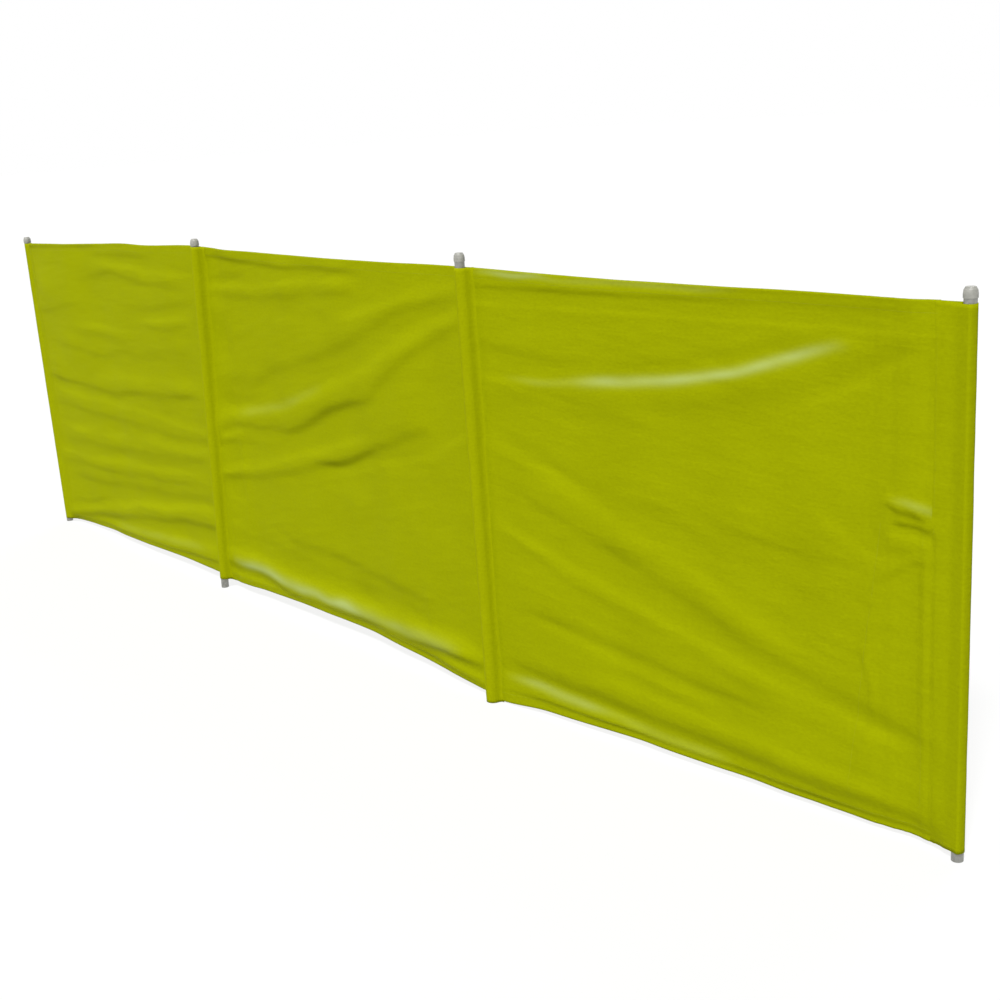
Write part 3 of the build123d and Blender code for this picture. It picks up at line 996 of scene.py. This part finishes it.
def pocket_sheet(name, low, high, behind, material):
    """A sheet on the back of the last bay within the pocket's outline."""
    bay = bay_count - 1
    rows = round((high - low) / pocket_grid) + 1
    share_up = np.linspace(0, 1, rows)[:, None]
    share_along = np.linspace(0, 1, pocket_columns)[None, :]
    height = low + share_up * (high - low) + 0 * share_along
    left, right = pocket_span(height)
    along = left + share_along * (right - left)
    above_foot = np.clip((height - pocket_bottom_height) / pocket_bag_start, 0, 1)
    bag = np.sin(pi * share_along) ** 0.6 * above_foot
    ripple = 1 + waves(0, along, height, pocket_ripple)
    out = cloth_out(bay, along, height) - behind - pocket_slack * bag * ripple
    uvs = np.stack([along.ravel(), height.ravel()], axis=1)
    places = bay_places(bay, along, height, out).reshape(-1, 3)
    piece = object_from(name, places, grid_faces(rows, pocket_columns), material, uvs)
    thicken(piece, cloth_layer, -1)
    return piece


pocket_top = pocket_bottom_height + pocket_height
pocket = pocket_sheet(
    "sewn_pocket", pocket_bottom_height, pocket_top, pocket_behind, pocket_cloth
)
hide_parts("storage_pocket")
mouth_hem = pocket_sheet(
    "folded_pocket_hem", pocket_top - pocket_hem_width, pocket_top, pocket_hem_behind,
    hem_cloth,
)
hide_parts("pocket_hem")


stitch_inputs = {"Pitch": stitch_pitch, "Stitch length": stitch_length, "Thread width": stitch_width}


def stitch_tree(material):
    """Geometry nodes that lay short rounded stitches end to end along seam lines."""
    tree = bpy.data.node_groups.new("stitches_along_seam", "GeometryNodeTree")
    interface = tree.interface
    interface.new_socket("Geometry", in_out="INPUT", socket_type="NodeSocketGeometry")
    sizes = {}
    for label, value in stitch_inputs.items():
        socket = interface.new_socket(label, in_out="INPUT", socket_type="NodeSocketFloat")
        socket.default_value = value
        sizes[label] = socket.identifier
    interface.new_socket("Geometry", in_out="OUTPUT", socket_type="NodeSocketGeometry")
    nodes, links = tree.nodes, tree.links
    entry, leave = nodes.new("NodeGroupInput"), nodes.new("NodeGroupOutput")
    to_curve = nodes.new("GeometryNodeMeshToCurve")
    links.new(entry.outputs["Geometry"], to_curve.inputs["Mesh"])
    spaced = nodes.new("GeometryNodeCurveToPoints")
    spaced.mode = "LENGTH"
    links.new(to_curve.outputs["Curve"], spaced.inputs["Curve"])
    links.new(entry.outputs["Pitch"], spaced.inputs["Length"])
    thread = nodes.new("GeometryNodeMeshUVSphere")
    thread.inputs["Segments"].default_value = 5
    thread.inputs["Rings"].default_value = 4
    thread.inputs["Radius"].default_value = 0.5
    size = nodes.new("ShaderNodeCombineXYZ")
    links.new(entry.outputs["Thread width"], size.inputs["X"])
    links.new(entry.outputs["Thread width"], size.inputs["Y"])
    links.new(entry.outputs["Stitch length"], size.inputs["Z"])
    place = nodes.new("GeometryNodeInstanceOnPoints")
    links.new(spaced.outputs["Points"], place.inputs["Points"])
    links.new(thread.outputs["Mesh"], place.inputs["Instance"])
    links.new(spaced.outputs["Rotation"], place.inputs["Rotation"])
    links.new(size.outputs["Vector"], place.inputs["Scale"])
    real = nodes.new("GeometryNodeRealizeInstances")
    links.new(place.outputs["Instances"], real.inputs["Geometry"])
    finish = nodes.new("GeometryNodeSetMaterial")
    finish.inputs["Material"].default_value = material
    links.new(real.outputs["Geometry"], finish.inputs["Geometry"])
    links.new(finish.outputs["Geometry"], leave.inputs["Geometry"])
    return tree, sizes


stitches, stitch_sizes = stitch_tree(lime_thread)


def sew(name, seams):
    """One piece of stitches along several seam lines, each a list of places."""
    points, edges = [], []
    for seam in seams:
        first = len(points)
        points += [tuple(point) for point in seam]
        edges += [(i, i + 1) for i in range(first, len(points) - 1)]
    mesh = bpy.data.meshes.new(name + "_line")
    mesh.from_pydata(points, edges, [])
    line = bpy.data.objects.new(name + "_line", mesh)
    bpy.context.scene.collection.objects.link(line)
    modifier = line.modifiers.new("stitches", "NODES")
    modifier.node_group = stitches
    for label, value in stitch_inputs.items():
        modifier[stitch_sizes[label]] = value
    graph = bpy.context.evaluated_depsgraph_get()
    sewn_mesh = bpy.data.meshes.new_from_object(line.evaluated_get(graph))
    sewn_mesh.name = name
    sewn_mesh.shade_smooth()
    bpy.data.objects.remove(line)
    piece = bpy.data.objects.new(name, sewn_mesh)
    bpy.context.scene.collection.objects.link(piece)
    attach(piece, "root")
    return piece


seam_inset = 0.004
seam_points_along = 260
seam_points_up = 200


def bay_seam(bay, height_at, raised):
    """Places along a bay at heights given along it, on the cloth's front, or behind it if negative."""
    near_middle = np.array([0.6])
    left, right = bay_limits(bay, float(height_at(near_middle)[0]))
    along = np.linspace(left + seam_inset, right - seam_inset, seam_points_along)
    height = height_at(along)
    return bay_places(bay, along, height, cloth_out(bay, along, height) + raised)


def upright_seam(bay, along_at, low, high, raised):
    """Places up a bay at distances along it given by the height."""
    height = np.linspace(low, high, seam_points_up)
    along = along_at(height)
    return bay_places(bay, along, height, cloth_out(bay, along, height) + raised)


def beside_pole(bay, end, gap):
    """Distances along a bay at a gap from the pole at its left end, 0, or right end, 1."""
    sign = -1 if end else 1
    return lambda height: pole_along(bay, end, height) + sign * gap


def pocket_edge(edge, inset):
    """Distances along the bay at an inset from the pocket's left edge, 0, or right edge, 1."""
    return lambda height: pocket_span(height)[edge] + inset


hem_stitch_inset = 0.028
# How far the stitches' middles lie out of the cloth's front, below zero where they lie behind it
hem_stitch_sides = (stitch_width * 0.15, -(2 * cloth_layer + 0.0004))
sleeve_stitch_sides = (0.0002, -cloth_layer - 0.0002)
pocket_stitch_sides = (stitch_width * 0.15, -0.0024)
for bay in range(bay_count):
    lines = (above(top_edges[bay], -hem_stitch_inset), above(lower_edges[bay], hem_stitch_inset))
    seams = [bay_seam(bay, line, raised) for raised in hem_stitch_sides for line in lines]
    sew(f"hem_stitches_{bay + 1}", seams)

for number in range(pole_count):
    low, high = sleeve_ends[number] + 0.035, cloth_tops[number] - 0.004
    gap = (inner_sleeve_half_width if is_inner(number) else end_sleeve_depth) + seam_width / 2
    seams = []
    for bay, end in ((number - 1, 1), (number, 0)):
        if 0 <= bay < bay_count:
            for raised in sleeve_stitch_sides:
                seams.append(upright_seam(bay, beside_pole(bay, end, gap), low, high, raised))
    sew(f"sleeve_stitches_{number + 1}", seams)

low, high = pocket_bottom_height + 0.006, pocket_top - 0.002
pocket_seams = []
for raised in pocket_stitch_sides:
    for edge, inset in ((0, 0.005), (1, -0.005)):
        pocket_seams.append(upright_seam(bay_count - 1, pocket_edge(edge, inset), low, high, raised))
sew("pocket_stitches", pocket_seams)


# Floor and light
def seen_rays(nodes, links):
    """1 for rays by which the camera, metal or glass sees a surface, and 0 for the light it gives."""
    ray = nodes.new("ShaderNodeLightPath").outputs
    camera_or_metal = math_node(nodes, links, "MAXIMUM", ray["Is Camera Ray"], ray["Is Glossy Ray"])
    return math_node(nodes, links, "MAXIMUM", camera_or_metal, ray["Is Transmission Ray"])


def mix_shaders(nodes, links, factor, first, second, output):
    mix = nodes.new("ShaderNodeMixShader")
    for place, socket in enumerate((factor, first, second)):
        links.new(socket, mix.inputs[place])
    links.new(mix.outputs["Shader"], nodes[output].inputs["Surface"])


floor_reach = 60
floor_height = -0.001
corners = [(-1, -1), (1, -1), (1, 1), (-1, 1)]
floor_mesh = bpy.data.meshes.new("pale_floor")
floor_points = [(x * floor_reach, y * floor_reach, floor_height) for x, y in corners]
floor_mesh.from_pydata(floor_points, [], [(0, 1, 2, 3)])
floor = bpy.data.objects.new("pale_floor", floor_mesh)
bpy.context.scene.collection.objects.link(floor)
floor_material, nodes, links, shader = new_material("pale_floor")
shader.inputs["Base Color"].default_value = (0.5, 0.5, 0.5, 1)
shader.inputs["Roughness"].default_value = 0.9
shader.inputs["Specular IOR Level"].default_value = 0.0
glow = nodes.new("ShaderNodeEmission")
glow.inputs["Strength"].default_value = 1.25
seen = math_node(nodes, links, "MULTIPLY", seen_rays(nodes, links), 0.65)
floor_looks = (shader.outputs["BSDF"], glow.outputs["Emission"])
mix_shaders(nodes, links, seen, *floor_looks, "Material Output")
floor.data.materials.append(floor_material)

world = bpy.data.worlds.new("studio")
bpy.context.scene.world = world
world.use_nodes = True
nodes, links = world.node_tree.nodes, world.node_tree.links
ambient = nodes["Background"]
ambient.inputs["Color"].default_value = (1, 1, 1, 1)
ambient.inputs["Strength"].default_value = 0.26
white = nodes.new("ShaderNodeBackground")
white.inputs["Color"].default_value = (1, 1, 1, 1)
white.inputs["Strength"].default_value = 1.0
skies = (ambient.outputs["Background"], white.outputs["Background"])
mix_shaders(nodes, links, seen_rays(nodes, links), *skies, "World Output")


def soft_sun(name, direction, strength, angle):
    """A sun lamp with soft-edged shadows, shining from a direction."""
    lamp = bpy.data.lights.new(name, "SUN")
    lamp.energy = strength
    lamp.angle = radians(angle)
    holder = bpy.data.objects.new(name, lamp)
    holder.rotation_euler = Vector(direction).to_track_quat("Z", "Y").to_euler()
    bpy.context.scene.collection.objects.link(holder)


soft_sun("key_light", (0.36, -0.66, 0.95), 3.12, 10)
soft_sun("sheen_light", (-0.75, -0.62, 0.20), 0.25, 12)
soft_sun("back_fill", (-0.3, 0.9, 0.8), 0.9, 40)

# Camera, solved from the photograph's pole lines and cloth corners
camera_place = (6.0021, -2.5689, 1.7092)
camera_azimuth = 49.139
camera_pitch = 15.777
camera_roll = -4.0205
focal_share = 1.39878
sensor_width_mm = 36

camera_data = bpy.data.cameras.new("camera")
camera_data.sensor_width = sensor_width_mm
camera_data.lens = sensor_width_mm * focal_share
camera = bpy.data.objects.new("camera", camera_data)
aim = Matrix.Rotation(radians(camera_azimuth), 4, "Z")
aim = aim @ Matrix.Rotation(radians(90 - camera_pitch), 4, "X")
aim = aim @ Matrix.Rotation(radians(camera_roll), 4, "Z")
camera.matrix_world = Matrix.Translation(camera_place) @ aim
bpy.context.scene.collection.objects.link(camera)
bpy.context.scene.camera = camera
bpy.context.scene.view_settings.view_transform = "Standard"
